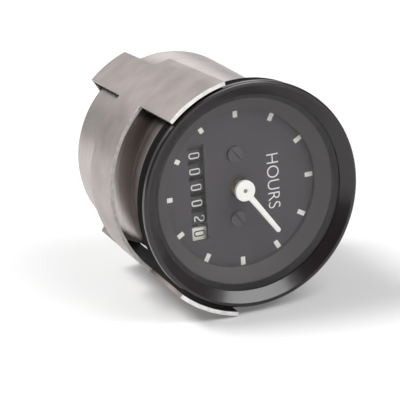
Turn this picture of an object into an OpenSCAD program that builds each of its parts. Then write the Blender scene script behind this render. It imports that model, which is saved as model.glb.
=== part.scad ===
// Panel hour meter with a six-drum counter, a minute pointer and a clamp bracket.
// The sub-parts are drawn with the gauge axis along z, the dial towards +z and 12 o'clock along +x.
// The last step of each sub-part turns the dial to -Y, so 12 o'clock is +X and 9 o'clock is +Z.
// The origin is on the gauge axis, in the plane where the gasket meets the panel.

/* [Case] */
// outer radius of the case can
case_r = 26; // [22:0.5:40]
// sheet thickness of the can's side wall
case_wall = 0.8; // [0.5:0.1:1.5]
// thickness of the can's rear wall
case_floor = 1; // [0.6:0.1:2]
// length of the can behind the panel seat
case_len = 49.5; // [46:0.5:80]
// radius of the rounded rear edge
case_edge_r = 2; // [0.5:0.1:2.5]
// step of the can's neck under the gasket
case_step = 0.6; // [0.4:0.05:1]

/* [Bezel and gasket] */
// how far the bezel stands out around the can
bezel_rim = 4.3; // [3.6:0.1:8]
// wall thickness of the bezel's skirt around the can's flange
bezel_skirt = 0.95; // [0.6:0.05:1.1]
// play of the can's flange in the skirt
skirt_play = 0.15; // [0.05:0.05:0.4]
// distance of the bezel's ridge from its outer edge
crown_in = 1.1; // [0.9:0.05:1.2]
// height of the ridge in front of the panel seat
crown_z = 5.95; // [5.4:0.05:9]
// radial size of the outer chamfer
bezel_chamfer = 0.4; // [0.2:0.05:0.8]
// height of the outer chamfer
chamfer_h = 0.4; // [0.2:0.05:0.8]
// radial width of the bezel's front, from its outer edge to its opening
bezel_face = 3.95; // [3:0.05:4.1]
// thickness of the bezel's inner edge
lip_t = 0.25; // [0.1:0.05:0.6]
// thickness of the gasket between the panel and the bezel
gasket_t = 0.8; // [0.5:0.1:1.5]
// how far the gasket's edge stays inside the bezel's
gasket_in = 0.4; // [0:0.05:0.6]
// wall thickness of the gasket's collar around the bezel's skirt
gasket_wall = 0.7; // [0.5:0.05:0.9]
// height of the gasket's collar in front of the panel seat
gasket_h = 4.3; // [2:0.1:4.5]
// thickness of the crimped edge behind the can's flange
crimp_t = 0.5; // [0.3:0.05:1]
// play of the gasket and the crimp around the can
case_play = 0.06; // [0.02:0.01:0.2]

/* [Dial and glass] */
// depth of the dial's face behind the panel seat
dial_depth = 2; // [0:0.1:6]
// thickness of the dial plate
dial_t = 0.8; // [0.4:0.1:1.5]
// radial gap of the dial, the glass and the rings in the can
stack_gap = 0.2; // [0.05:0.05:0.5]
// radial width of the reflector ring
reflector_w = 3.8; // [2:0.1:6]
// height of the reflector ring's foot above the dial
reflector_lift = 1.5; // [0.5:0.1:2]
// width of the flat on top of the reflector ring
reflector_top = 0.3; // [0.1:0.1:1]
// thickness of the seal under the glass
seal_t = 0.4; // [0.3:0.1:1]
// thickness of the glass
lens_t = 1; // [0.8:0.1:2]
// length of the counter window
window_l = 25.8; // [20:0.1:30]
// height of the counter window
window_h = 4.5; // [3:0.1:6]
// half spacing of the dial screws
screw_off = 8.8; // [7:0.1:12]
// distance of the dial screws below the axis, towards 6 o'clock
screw_drop = 0.8; // [0:0.1:1.5]
// radius of the dial screws' heads
screw_head_r = 2.1; // [1.5:0.1:3]
// height of the dial screws' heads
screw_head_h = 0.8; // [0.4:0.1:1.5]
// radius of the dial screws' shanks
screw_r = 1; // [0.6:0.1:1.5]
// width of the screw slots
screw_slot_w = 0.6; // [0.3:0.05:1]
// turn of the screw slots
screw_turn = 125; // [0:5:180]

/* [Pointer] */
// radius of the pointer's hub
hub_r = 2.8; // [2:0.1:4]
// height of the hub's face above the dial
hub_top = 4.1; // [3.6:0.1:4.1]
// thickness of the hub
hub_t = 1.2; // [1:0.1:2.4]
// length of the pointer from the axis
pointer_len = 15.8; // [10:0.1:20]
// width of the pointer at the hub
pointer_w = 1.7; // [1:0.1:3]
// width of the pointer at its tip
pointer_tip_w = 1.3; // [0.6:0.1:3]
// thickness of the pointer's arm
pointer_t = 0.8; // [0.4:0.1:1.4]
// clockwise angle of the pointer from 12 o'clock
pointer_angle = 54; // [0:1:360]
// radius of the arbor
arbor_r = 1.3; // [0.7:0.05:1.4]
// radius of the arbor's tip in the hub
arbor_tip_r = 0.5; // [0.3:0.05:0.8]
// outer radius of the arbor bush
bush_r = 1.9; // [1.4:0.1:3]
// height of the bush above the dial, negative where it ends in the dial's hole
bush_top = -0.6; // [-0.7:0.1:1]
// radius of the dial's hole around the bush
dial_hole_r = 2.9; // [2.2:0.1:3.2]
// radial running clearance of all shafts
run = 0.05; // [0.02:0.01:0.09]

/* [Counter] */
// distance of the drum shaft from the gauge axis
drum_off = 11.7; // [11.5:0.1:13]
// radius of the number drums
drum_r = 7; // [6.8:0.1:7.1]
// offset of the window and the dial screws towards 9 o'clock
dial_shift = 0.5; // [0:0.1:0.8]
// offset of the drums towards 3 o'clock
drum_shift = 0.5; // [0:0.1:0.6]
// spacing of the drums
drum_pitch = 4.3; // [4.2:0.05:4.4]
// width of a drum's rim
rim_w = 3; // [2.6:0.05:3.1]
// width of the gear beside the rim
ring_w = 0.9; // [0.7:0.05:0.95]
// width of the rim on the tenths drum
tenths_rim_w = 3.5; // [3:0.05:3.6]
// gap between the drums and the dial
drum_gap = 0.35; // [0.3:0.05:1]
// radius of the drum shaft
drum_shaft_r = 1.25; // [1:0.05:1.6]
// radius of the transfer shaft
transfer_shaft_r = 0.8; // [0.6:0.05:1]
// width of a transfer pinion
transfer_w = 0.65; // [0.5:0.05:0.7]
// thickness of the counter frame's sheet
frame_t = 0.8; // [0.5:0.1:1.2]
// width of the counter frame
frame_w = 7.6; // [7:0.1:8]

/* [Gears] */
// pitch radius of the drum gears
ring_pitch_r = 5.7; // [5.5:0.05:5.8]
// pitch radius of the minute wheel
wheel_pitch_r = 4.8; // [4.4:0.1:5]
// share of the pitch that a tooth fills
tooth_share = 0.36; // [0.3:0.01:0.4]

/* [Movement] */
// thickness of the front plate
plate_t = 1.2; // [0.8:0.1:1.6]
// depth of the gearbox's front face behind the panel seat
gearbox_depth = 9; // [9:0.1:10]
// thickness of the gearbox, front to back
gearbox_t = 21; // [16:0.5:22]
// length of the gearbox along 12 o'clock
gearbox_l = 19.3; // [16:0.1:22]
// width of the gearbox
gearbox_w = 23; // [20:0.5:23]
// radius of the pillars
pillar_r = 1.5; // [1:0.1:2]
// radius of the motor
motor_r = 9; // [6:0.5:11]
// thickness of the drive board
board_t = 1; // [0.8:0.1:1.6]
// radius of the drive board
board_r = 19; // [16:0.5:22]
// wall thickness of the spacer sleeve
sleeve_t = 0.8; // [0.5:0.1:1.2]

/* [Bracket] */
// sheet thickness of the bracket
bracket_t = 1.1; // [0.8:0.05:2]
// gap between the can and the bracket's rear
rear_gap = 1.7; // [1.5:0.1:6]
// gap between the bezel and the front ends of the legs
leg_gap = 0.9; // [0.9:0.1:6]
// how far the legs reach in front of the panel seat, fully closed
leg_front = 6; // [0:0.1:10]
// depth of the band's front edge
band_front = 15; // [10:0.1:20]
// depth of the band's rear edge
band_rear = 29.7; // [22:0.1:36]
// angle of the legs' inner edges from 6 o'clock
leg_inner = 47.3; // [40:0.1:60]
// angle of the legs' outer edges from 6 o'clock
leg_outer = 79.5; // [72:0.1:86]
// angle of the rear tabs' outer edges from 6 o'clock
tab_outer = 71; // [60:0.1:72]
// how far the bracket hangs down in its stud holes
bracket_drop = 0.2; // [0:0.1:0.5]
// gap between the bracket's flanges and the can, fully closed
flange_gap = 0.1; // [0.05:0.05:1]
// distance of the bracket studs from the axis
stud_off = 17; // [15:0.5:18]
// radius of the bracket studs
stud_r = 2; // [1.5:0.1:2]
// distance of a flange's inner edge from its stud
flange_edge = 7; // [5.5:0.1:10]
// radius of the stud holes in the flanges
stud_hole_r = 3; // [2.8:0.1:3.5]
// travel of the bracket
bracket_travel = 11; // [6:0.5:20]

/* [Nuts and washers] */
// outer radius of the washers
washer_r = 5; // [4:0.1:6]
// thickness of the washers
washer_t = 0.8; // [0.5:0.1:1.2]
// width of the nuts across flats
nut_w = 7; // [6:0.1:8]
// thickness of the nuts
nut_t = 3.2; // [2:0.1:4]

/* [Terminals] */
// distance of the terminal block from the axis
block_off = 12; // [10:0.5:14]
// width of the terminal block
block_w = 18; // [16:0.5:20]
// length of the terminal block towards 12 o'clock
block_l = 11; // [9:0.5:12]
// width of a blade terminal
blade_w = 6.3; // [4.8:0.1:6.3]
// thickness of a blade terminal
blade_t = 0.8; // [0.5:0.1:0.8]
// length of a blade behind the can
blade_len = 9; // [7:0.5:12]
// spacing of the blade terminals
blade_gap = 10; // [8:0.5:12]

/* [Hidden] */
$fn = 96;
bore_r = case_r - case_wall;
stack_r = bore_r - stack_gap;
neck_r = case_r + case_step;
bezel_r = case_r + bezel_rim;
crown_r = bezel_r - crown_in;
gasket_r = bezel_r - gasket_in;
collar_r = gasket_r - gasket_wall;
skirt_r = collar_r - case_play;
inside_r = skirt_r - bezel_skirt;
flange_r = inside_r - skirt_play;
bezel_opening_r = bezel_r - bezel_face;
lens_r = flange_r - 0.4;
reflector_foot_r = stack_r - reflector_w;
// heights in front of the panel seat
flange_z = gasket_t + crimp_t;
lip_z = flange_z + case_wall;
lens_z = lip_z + seal_t;
lens_top = lens_z + lens_t;
dial_z = -dial_depth;
dial_back = dial_z - dial_t;
plate_back = dial_back - plate_t;
case_back = -case_len;
floor_z = case_back + case_floor;
hub_z = dial_z + hub_top;
// teeth of the drum gears, the transfer pinions and the counter pinion
ring_teeth = 20;
transfer_teeth = 8;
counter_teeth = 15;
// teeth of the minute wheel and the minute pinion
wheel_teeth = 24;
pinion_teeth = 8;
// counter positions
drum_x = -drum_off;
drum_z = dial_back - drum_gap - drum_r;
drum_y0 = 2.5 * drum_pitch - drum_shift;
tenths_y = drum_y0 - 5 * drum_pitch;
ring_module = 2 * ring_pitch_r / ring_teeth;
transfer_pitch_r = ring_module * transfer_teeth / 2;
transfer_z = drum_z - ring_pitch_r - transfer_pitch_r;
counter_pitch_r = ring_module * counter_teeth / 2;
counter_tilt = 15;
counter_x = drum_x + (ring_pitch_r + counter_pitch_r) * cos(counter_tilt);
counter_z = drum_z - (ring_pitch_r + counter_pitch_r) * sin(counter_tilt);
drum_len = rim_w + ring_w;
tenths_gear_z = tenths_rim_w + 0.45;
tenths_gear_w = 1.3;
cheek_left = drum_y0 + drum_len / 2 + 0.5;
cheek_right = tenths_y + drum_len / 2 - tenths_gear_z - tenths_gear_w - 0.45;
frame_back = transfer_z - transfer_pitch_r - 1.1;
// gear train positions
wheel_module = 2 * wheel_pitch_r / wheel_teeth;
pinion_pitch_r = wheel_module * pinion_teeth / 2;
pinion_x = wheel_pitch_r + pinion_pitch_r;
wheel_z = plate_back - 3;
gearbox_z = -gearbox_depth;
gearbox_x = drum_x + drum_r + 0.4;
gearbox_back = gearbox_z - gearbox_t;
motor_x = 5.5;
board_z = floor_z + 2.5;
// bracket positions
bracket_back = case_back - flange_gap - bracket_t;
tab_mid = (leg_inner + tab_outer) / 2;
stud_a = 180 - tab_mid;
stud_len = flange_gap + bracket_t + washer_t + nut_t + bracket_travel + 0.8;
bracket_rear_r = case_r + rear_gap + bracket_t;
bracket_front_r = bezel_r + leg_gap + bracket_t;
cone_len = leg_front - bracket_back;
cone_slope = (bracket_front_r - bracket_rear_r) / cone_len;

// turns the gauge axis from +z to -Y
module gauge() {
    rotate([90, 0, 0]) children();
}

// ring between two heights
module ring(r_out, r_in, z0, z1) {
    translate([0, 0, z0]) difference() {
        cylinder(h = z1 - z0, r = r_out);
        translate([0, 0, -1]) cylinder(h = z1 - z0 + 2, r = r_in);
    }
}

// flat gear outline with straight flanks, a tooth centred on +x
module gear(teeth, pitch_r, mod) {
    tip = pitch_r + 0.78 * mod;
    root = pitch_r - 1.02 * mod;
    half = tooth_share * PI * mod / 2;
    foot = half + 0.36 * (pitch_r - root + 0.2);
    head = half - 0.36 * (tip - pitch_r + 0.2);
    circle(r = root);
    intersection() {
        circle(r = tip);
        for (i = [0 : teeth - 1])
            rotate(i * 360 / teeth)
                polygon([[root - 0.2, -foot], [tip + 0.2, -head], [tip + 0.2, head], [root - 0.2, foot]]);
    }
}

// sector of the plane between two angles, wide enough for the bracket
module wedge(a0, a1) {
    near = 0.75 * case_r;
    far = 3 * case_r;
    mid = (a0 + a1) / 2;
    polygon([[near * cos(a0), near * sin(a0)], [far * cos(a0), far * sin(a0)],
        [far * cos(mid), far * sin(mid)], [far * cos(a1), far * sin(a1)], [near * cos(a1), near * sin(a1)]]);
}

// drum placement: local z runs towards 3 o'clock, local y towards the dial
module on_counter(x, y, z) {
    translate([x, y, z]) rotate([90, 0, 0]) children();
}

// the whole can: a cup with a flared neck and a flange at its mouth
module can() {
    difference() {
        union() {
            rotate_extrude() difference() {
                translate([0, case_back]) square([case_r, lip_z - case_back]);
                translate([case_r - case_edge_r, case_back]) difference() {
                    translate([0, -1]) square([case_edge_r + 1, case_edge_r + 1]);
                    translate([0, case_edge_r]) circle(r = case_edge_r);
                }
            }
            translate([0, 0, -0.1]) cylinder(h = 0.8, r1 = case_r, r2 = neck_r);
            translate([0, 0, 0.7]) cylinder(h = lip_z - 0.7, r = neck_r);
            translate([0, 0, flange_z]) cylinder(h = case_wall, r = flange_r);
        }
        translate([0, 0, floor_z]) cylinder(h = lip_z - floor_z + 1, r = bore_r);
        for (s = [-1, 1])
            rotate(s * stud_a) translate([stud_off, 0, case_back - 1])
                cylinder(h = case_floor + 2, r = stud_r + run);
        translate([block_off - block_l / 2 + 1, -block_w / 2 + 1, case_back - 1])
            cube([block_l - 2, block_w - 2, case_floor + 2]);
    }
}

// the can behind the panel seat
module case_can() {
    color([0.68, 0.66, 0.65]) gauge() intersection() {
        can();
        translate([0, 0, case_back - 1]) cylinder(h = case_len + 1, r = 2 * case_r);
    }
}

// the can in front of the panel seat
module case_neck() {
    color([0.68, 0.66, 0.65]) gauge() intersection() {
        can();
        cylinder(h = lip_z + 1, r = 2 * case_r);
    }
}

module bezel() {
    color([0.16, 0.15, 0.15]) gauge() rotate_extrude()
        polygon([[bezel_opening_r, lens_top], [inside_r, lens_top], [inside_r, flange_z],
            [neck_r + case_play, flange_z], [neck_r + case_play, gasket_t], [skirt_r, gasket_t],
            [skirt_r, gasket_h], [bezel_r, gasket_h], [bezel_r, crown_z - chamfer_h],
            [bezel_r - bezel_chamfer, crown_z], [crown_r, crown_z], [bezel_opening_r, lens_top + lip_t]]);
}

module gasket() {
    hole_r = neck_r + case_play;
    color([0.07, 0.07, 0.07]) gauge() rotate_extrude()
        polygon([[hole_r, 0], [gasket_r, 0], [gasket_r, gasket_h], [collar_r, gasket_h], [collar_r, gasket_t],
            [hole_r, gasket_t]]);
}

module lens() {
    color([0.9, 0.94, 0.95, 0.2]) gauge() translate([0, 0, lens_z]) cylinder(h = lens_t, r = lens_r);
}

module lens_seal() {
    color([0.1, 0.1, 0.1]) gauge() ring(lens_r, stack_r, lip_z, lens_z);
}

module reflector_ring() {
    color([0.34, 0.34, 0.34]) gauge() rotate_extrude()
        polygon([[reflector_foot_r, dial_z], [stack_r, dial_z], [stack_r, lip_z], [stack_r - reflector_top, lip_z],
            [reflector_foot_r, dial_z + reflector_lift]]);
}

module dial() {
    color([0.35, 0.34, 0.35]) gauge() difference() {
        translate([0, 0, dial_back]) cylinder(h = dial_t, r = stack_r);
        translate([drum_x - window_h / 2, dial_shift - window_l / 2, dial_back - 1])
            cube([window_h, window_l, dial_t + 2]);
        translate([0, 0, dial_back - 1]) cylinder(h = dial_t + 2, r = dial_hole_r);
        for (s = [-1, 1])
            translate([-screw_drop, dial_shift + s * screw_off, dial_back - 1])
                cylinder(h = dial_t + 2, r = screw_r);
    }
}

module dial_screws() {
    color([0.2, 0.19, 0.2]) gauge() for (s = [-1, 1])
        translate([-screw_drop, dial_shift + s * screw_off, 0]) difference() {
            union() {
                translate([0, 0, dial_z]) cylinder(h = screw_head_h, r = screw_head_r);
                translate([0, 0, plate_back]) cylinder(h = dial_z - plate_back, r = screw_r);
            }
            rotate(screw_turn) translate([-screw_head_r - 1, -screw_slot_w / 2, dial_z + screw_head_h / 2])
                cube([2 * screw_head_r + 2, screw_slot_w, screw_head_h]);
        }
}

module pointer() {
    half = pointer_w / 2;
    tip = pointer_tip_w / 2;
    color([0.95, 0.95, 0.94]) gauge() difference() {
        union() {
            translate([0, 0, hub_z - hub_t]) cylinder(h = hub_t, r = hub_r);
            rotate(-pointer_angle) translate([0, 0, hub_z - pointer_t - 0.2]) linear_extrude(pointer_t) {
                polygon([[0, -half], [pointer_len - tip, -tip], [pointer_len - tip, tip], [0, half]]);
                translate([pointer_len - tip, 0]) circle(r = tip);
            }
        }
        translate([0, 0, hub_z - hub_t - 1]) cylinder(h = hub_t + 2, r = arbor_tip_r);
    }
}

module pointer_arbor() {
    color([0.6, 0.6, 0.6]) gauge() {
        translate([0, 0, gearbox_z + 0.3]) cylinder(h = hub_z - hub_t - gearbox_z - 0.3, r = arbor_r);
        translate([0, 0, gearbox_z - 1.5]) cylinder(h = 2, r = arbor_tip_r);
        translate([0, 0, hub_z - hub_t - 0.5]) cylinder(h = hub_t + 0.5, r = arbor_tip_r);
    }
}

module arbor_bush() {
    color([0.72, 0.53, 0.3]) gauge() ring(bush_r, arbor_r + run, plate_back, dial_z + bush_top);
}

module minute_wheel() {
    color([0.75, 0.6, 0.35]) gauge() translate([0, 0, wheel_z]) difference() {
        linear_extrude(1.2) gear(wheel_teeth, wheel_pitch_r, wheel_module);
        translate([0, 0, -1]) cylinder(h = 4, r = arbor_r);
    }
}

module minute_pinion() {
    color([0.7, 0.7, 0.7]) gauge() translate([pinion_x, 0, 0]) {
        translate([0, 0, wheel_z - 0.2])
            linear_extrude(1.6) rotate(180 + 180 / pinion_teeth)
                gear(pinion_teeth, pinion_pitch_r, wheel_module);
        translate([0, 0, gearbox_z - 2]) cylinder(h = wheel_z - gearbox_z + 2, r = 0.6);
    }
}

module front_plate() {
    open_y = cheek_right + 0.2;
    open_l = cheek_left - 0.2 - open_y;
    color([0.72, 0.7, 0.62]) gauge() difference() {
        translate([0, 0, plate_back]) cylinder(h = plate_t, r = stack_r);
        translate([drum_x - 4.2, open_y, plate_back - 1]) cube([8.4, open_l, plate_t + 2]);
        translate([0, 0, plate_back - 1]) cylinder(h = plate_t + 2, r = bush_r);
        for (s = [-1, 1])
            translate([-screw_drop, dial_shift + s * screw_off, plate_back - 1])
                cylinder(h = plate_t + 2, r = screw_r);
    }
}

module pillars() {
    color([0.75, 0.6, 0.35]) gauge()
        for (p = [[-1.8, 10], [-1.8, -10], [12.8, 0]])
            translate([p[0], p[1], gearbox_z]) cylinder(h = plate_back - gearbox_z, r = pillar_r);
}

module spacer_sleeve() {
    color([0.8, 0.78, 0.72]) gauge() ring(stack_r + 0.1, stack_r + 0.1 - sleeve_t, floor_z, plate_back);
}

module gearbox() {
    color([0.86, 0.84, 0.78]) gauge() difference() {
        translate([gearbox_x, -gearbox_w / 2, gearbox_back]) cube([gearbox_l, gearbox_w, gearbox_t]);
        translate([0, 0, gearbox_z - 2]) cylinder(h = 3, r = arbor_tip_r + run);
        translate([pinion_x, 0, gearbox_z - 2.5]) cylinder(h = 3.5, r = 0.6 + run);
        translate([counter_x, -gearbox_w / 2 + 2.5, counter_z]) rotate([90, 0, 0])
            cylinder(h = 4, r = 0.75 + run);
    }
}

module motor() {
    color([0.6, 0.6, 0.62]) gauge()
        translate([motor_x, 0, board_z + board_t])
            cylinder(h = gearbox_back - board_z - board_t, r = motor_r);
}

module drive_board() {
    color([0.12, 0.35, 0.2]) gauge() difference() {
        translate([0, 0, board_z]) cylinder(h = board_t, r = board_r);
        for (s = [-1, 1])
            translate([block_off - blade_w / 2, s * blade_gap / 2 - blade_t / 2, board_z - 1])
                cube([blade_w, blade_t, board_t + 2]);
    }
}

module counter_frame() {
    hole_l = cheek_left - cheek_right + 4 * frame_t;
    color([0.66, 0.66, 0.66]) gauge() difference() {
        union() {
            for (y = [cheek_left, cheek_right - frame_t])
                translate([drum_x - frame_w / 2, y, frame_back - frame_t])
                    cube([frame_w, frame_t, plate_back - frame_back + frame_t]);
            translate([drum_x - frame_w / 2, cheek_right - frame_t, frame_back - frame_t])
                cube([frame_w, cheek_left - cheek_right + 2 * frame_t, frame_t]);
        }
        on_counter(drum_x, cheek_left + 2 * frame_t, drum_z) cylinder(h = hole_l, r = drum_shaft_r);
        on_counter(drum_x, cheek_left + 2 * frame_t, transfer_z) cylinder(h = hole_l, r = transfer_shaft_r);
    }
}

module drum_shaft() {
    color([0.75, 0.75, 0.76]) gauge() on_counter(drum_x, cheek_left + frame_t + 0.3, drum_z)
        cylinder(h = cheek_left - cheek_right + 2 * frame_t + 0.6, r = drum_shaft_r);
}

module transfer_shaft() {
    color([0.75, 0.75, 0.76]) gauge() on_counter(drum_x, cheek_left + frame_t + 0.3, transfer_z)
        cylinder(h = cheek_left - cheek_right + 2 * frame_t + 0.6, r = transfer_shaft_r);
}

// one black number drum, counted from the 9 o'clock side
module drum(place) {
    gauge() on_counter(drum_x, drum_y0 - place * drum_pitch + drum_len / 2, drum_z) difference() {
        union() {
            cylinder(h = rim_w, r = drum_r);
            linear_extrude(drum_len) rotate(-90) gear(ring_teeth, ring_pitch_r, ring_module);
        }
        translate([0, 0, -1]) cylinder(h = drum_len + 2, r = drum_shaft_r + run);
    }
}

module drum_1() {
    color([0.1, 0.1, 0.1]) drum(0);
}

module drum_2() {
    color([0.1, 0.1, 0.1]) drum(1);
}

module drum_3() {
    color([0.1, 0.1, 0.1]) drum(2);
}

module drum_4() {
    color([0.1, 0.1, 0.1]) drum(3);
}

module drum_5() {
    color([0.1, 0.1, 0.1]) drum(4);
}

module drum_tenths() {
    color([0.93, 0.93, 0.9]) gauge() on_counter(drum_x, tenths_y + drum_len / 2, drum_z) difference() {
        union() {
            cylinder(h = tenths_rim_w, r = drum_r);
            cylinder(h = tenths_gear_z, r = 4);
            translate([0, 0, tenths_gear_z])
                linear_extrude(tenths_gear_w) rotate(-counter_tilt)
                    gear(ring_teeth, ring_pitch_r, ring_module);
        }
        translate([0, 0, -1]) cylinder(h = tenths_gear_z + tenths_gear_w + 2, r = drum_shaft_r + run);
    }
}

// one transfer pinion, in the gap behind the drum of the same number
module transfer_pinion(place) {
    gap = drum_pitch - rim_w;
    start = drum_y0 - place * drum_pitch + drum_len / 2 - rim_w - (gap - transfer_w) / 2;
    gauge() on_counter(drum_x, start, transfer_z) difference() {
        linear_extrude(transfer_w) rotate(90 + 180 / transfer_teeth)
            gear(transfer_teeth, transfer_pitch_r, ring_module);
        translate([0, 0, -1]) cylinder(h = transfer_w + 2, r = transfer_shaft_r + run);
    }
}

module transfer_pinion_1() {
    color([0.8, 0.78, 0.7]) transfer_pinion(0);
}

module transfer_pinion_2() {
    color([0.8, 0.78, 0.7]) transfer_pinion(1);
}

module transfer_pinion_3() {
    color([0.8, 0.78, 0.7]) transfer_pinion(2);
}

module transfer_pinion_4() {
    color([0.8, 0.78, 0.7]) transfer_pinion(3);
}

module transfer_pinion_5() {
    color([0.8, 0.78, 0.7]) transfer_pinion(4);
}

module counter_pinion() {
    start = tenths_y + drum_len / 2 - tenths_gear_z - 0.2;
    color([0.8, 0.78, 0.7]) gauge() on_counter(counter_x, start, counter_z) {
        linear_extrude(tenths_gear_w - 0.3) rotate(180 - counter_tilt + 180 / counter_teeth)
            gear(counter_teeth, counter_pitch_r, ring_module);
        translate([0, 0, start + gearbox_w / 2 - 2.2]) cylinder(h = 2.4 - start - gearbox_w / 2, r = 0.75);
    }
}

module bracket_studs() {
    color([0.72, 0.72, 0.7]) gauge() for (s = [-1, 1])
        rotate(s * stud_a) translate([stud_off, 0, 0]) {
            translate([0, 0, floor_z]) cylinder(h = 1.5, r = 4);
            translate([0, 0, case_back - stud_len]) cylinder(h = stud_len + case_floor, r = stud_r);
        }
}

// the bracket's plan: legs, band and rear tabs, cut from a conical shell
module bracket_plan(s) {
    translate([0, 0, -band_rear]) linear_extrude(leg_front + band_rear)
        wedge(180 - s * leg_outer, 180 - s * leg_inner);
    translate([0, 0, bracket_back]) linear_extrude(-bracket_back)
        wedge(180 - s * tab_outer, 180 - s * leg_inner);
    translate([0, 0, -band_rear]) linear_extrude(band_rear - band_front)
        wedge(180 - s * (leg_inner + 1), 180 + s * 1);
}

module bracket() {
    tab_w = 2 * bracket_rear_r * sin((tab_outer - leg_inner) / 2);
    color([0.68, 0.66, 0.65]) gauge() translate([0, -bracket_drop, 0]) {
        intersection() {
            translate([0, 0, bracket_back]) difference() {
                cylinder(h = cone_len, r1 = bracket_rear_r, r2 = bracket_front_r);
                translate([0, 0, -1])
                    cylinder(h = cone_len + 2, r1 = bracket_rear_r - bracket_t - cone_slope,
                        r2 = bracket_front_r - bracket_t + cone_slope);
            }
            union() {
                bracket_plan(1);
                bracket_plan(-1);
            }
        }
        for (s = [-1, 1])
            difference() {
                intersection() {
                    translate([0, 0, bracket_back]) cylinder(h = bracket_t, r = bracket_rear_r);
                    rotate(s * stud_a) translate([stud_off - flange_edge, -tab_w / 2, bracket_back])
                        cube([bracket_rear_r, tab_w, bracket_t]);
                }
                rotate(s * stud_a) translate([stud_off, 0, bracket_back - 1])
                    cylinder(h = bracket_t + 2, r = stud_hole_r);
            }
    }
}

module washers() {
    color([0.75, 0.75, 0.74]) gauge() for (s = [-1, 1])
        rotate(s * stud_a) translate([stud_off, 0, 0])
            ring(washer_r, stud_r + 0.15, bracket_back - washer_t, bracket_back);
}

module nut(s) {
    corner_r = nut_w / sqrt(3);
    face_r = 0.48 * nut_w;
    chamfer = (corner_r - face_r) * tan(30);
    gauge() rotate(s * stud_a) translate([stud_off, 0, bracket_back - washer_t - nut_t]) difference() {
        intersection() {
            cylinder(h = nut_t, r = corner_r, $fn = 6);
            rotate_extrude() polygon([[0, 0], [face_r, 0], [corner_r, chamfer], [corner_r, nut_t - chamfer],
                [face_r, nut_t], [0, nut_t]]);
        }
        translate([0, 0, -1]) cylinder(h = nut_t + 2, r = stud_r + run);
    }
}

module nut_upper() {
    color([0.78, 0.77, 0.74]) nut(1);
}

module nut_lower() {
    color([0.78, 0.77, 0.74]) nut(-1);
}

module terminal_block() {
    color([0.12, 0.12, 0.12]) gauge() difference() {
        union() {
            translate([block_off - block_l / 2, -block_w / 2, floor_z])
                cube([block_l, block_w, board_z - floor_z]);
            translate([block_off - block_l / 2 + 1, -block_w / 2 + 1, case_back - 1.5])
                cube([block_l - 2, block_w - 2, case_floor + 1.5]);
        }
        for (s = [-1, 1])
            translate([block_off - blade_w / 2, s * blade_gap / 2 - blade_t / 2, case_back - 3])
                cube([blade_w, blade_t, 20]);
    }
}

module terminal_blades() {
    color([0.8, 0.75, 0.6]) gauge() for (s = [-1, 1])
        difference() {
            translate([block_off - blade_w / 2, s * blade_gap / 2 - blade_t / 2, case_back - blade_len])
                cube([blade_w, blade_t, board_z + board_t / 2 - case_back + blade_len]);
            translate([block_off, s * blade_gap / 2 + 2, case_back - blade_len + 3]) rotate([90, 0, 0])
                cylinder(h = 4, r = 0.85);
        }
}

case_can();
case_neck();
bezel();
gasket();
lens();
lens_seal();
reflector_ring();
dial();
dial_screws();
pointer();
pointer_arbor();
arbor_bush();
minute_wheel();
minute_pinion();
front_plate();
pillars();
spacer_sleeve();
gearbox();
motor();
drive_board();
counter_frame();
drum_shaft();
drum_1();
drum_2();
drum_3();
drum_4();
drum_5();
drum_tenths();
transfer_shaft();
transfer_pinion_1();
transfer_pinion_2();
transfer_pinion_3();
transfer_pinion_4();
transfer_pinion_5();
counter_pinion();
bracket_studs();
bracket();
washers();
nut_upper();
nut_lower();
terminal_block();
terminal_blades();
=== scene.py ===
"""Looks of the panel hour meter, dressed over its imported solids.

The frame is the part's own: the dial faces -Y, 12 o'clock is +X, 9 o'clock is +Z, in metres.
"""

import logging
import math
from dataclasses import dataclass, field
from enum import Enum
from typing import Iterable, Optional, Sequence, Union

import bmesh
import bpy
from mathutils import Matrix, Vector


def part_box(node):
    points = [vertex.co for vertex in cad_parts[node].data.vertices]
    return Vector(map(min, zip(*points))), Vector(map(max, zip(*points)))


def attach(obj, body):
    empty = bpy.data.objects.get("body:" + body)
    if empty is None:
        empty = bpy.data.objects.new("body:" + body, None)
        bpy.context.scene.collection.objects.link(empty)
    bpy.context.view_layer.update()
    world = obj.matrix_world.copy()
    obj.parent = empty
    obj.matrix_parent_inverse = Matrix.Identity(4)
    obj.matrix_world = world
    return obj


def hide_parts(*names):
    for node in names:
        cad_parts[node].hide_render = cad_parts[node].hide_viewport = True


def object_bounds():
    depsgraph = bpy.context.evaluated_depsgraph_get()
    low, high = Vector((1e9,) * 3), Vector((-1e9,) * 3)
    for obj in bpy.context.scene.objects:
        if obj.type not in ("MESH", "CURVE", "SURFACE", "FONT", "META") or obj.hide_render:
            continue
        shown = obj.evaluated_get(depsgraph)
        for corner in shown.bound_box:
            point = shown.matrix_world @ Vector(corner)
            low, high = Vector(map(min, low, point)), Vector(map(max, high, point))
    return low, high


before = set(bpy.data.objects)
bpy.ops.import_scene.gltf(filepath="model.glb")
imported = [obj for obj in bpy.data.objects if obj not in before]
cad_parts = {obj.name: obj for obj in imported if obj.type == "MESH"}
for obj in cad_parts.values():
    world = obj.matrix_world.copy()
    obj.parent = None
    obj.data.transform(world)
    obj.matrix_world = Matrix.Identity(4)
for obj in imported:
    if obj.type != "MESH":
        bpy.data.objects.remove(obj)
CAD_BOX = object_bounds()

MM = 0.001
# points closer than this, in metres, are one point
WELD = 2e-6
# faces that turn less than this, in degrees, are one face
FLAT_DEG = 0.6
# edges sharper than this, in degrees, are shaded as edges
CREASE_DEG = 40.0
# steps across an eased edge
EDGE_STEPS = 2
# steps around a rounded corner of a digit
CORNER_STEPS = 6
# how much the fine grain adds to a finish's patches of colour
GRAIN_SHARE = 0.4
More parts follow.
